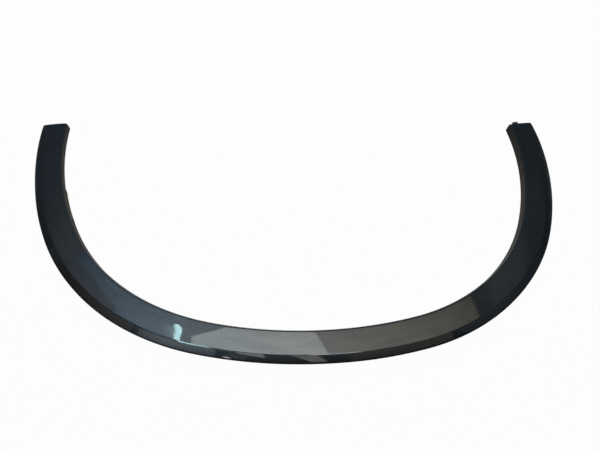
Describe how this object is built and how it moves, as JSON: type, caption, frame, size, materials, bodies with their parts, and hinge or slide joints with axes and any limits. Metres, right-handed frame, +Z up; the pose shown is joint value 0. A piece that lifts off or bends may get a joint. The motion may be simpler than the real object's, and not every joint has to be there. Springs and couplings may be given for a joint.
{
  "type": "wheel arch trim",
  "caption": "Painted plastic wheel arch trim: a U-shaped moulding with a bevelled outer edge, an inner flange, a screw ear and a locating tab, that frames a car's wheel opening.",
  "frame": {"origin": "middle of the bounding box on the plane that the flange's foot stands on", "axes": "+Z up, the painted outboard side; +X to the right and -Y to the crown of the arch, as in the picture"},
  "size_m": [0.8662, 0.437, 0.0145],
  "materials": {
    "painted_plastic": "dark charcoal metallic paint under clear coat on the face and bevel, bare grey plastic on flange and back"
  },
  "bodies": {
    "root": {"arch_trim": "painted_plastic"}
  },
  "joints": []
}
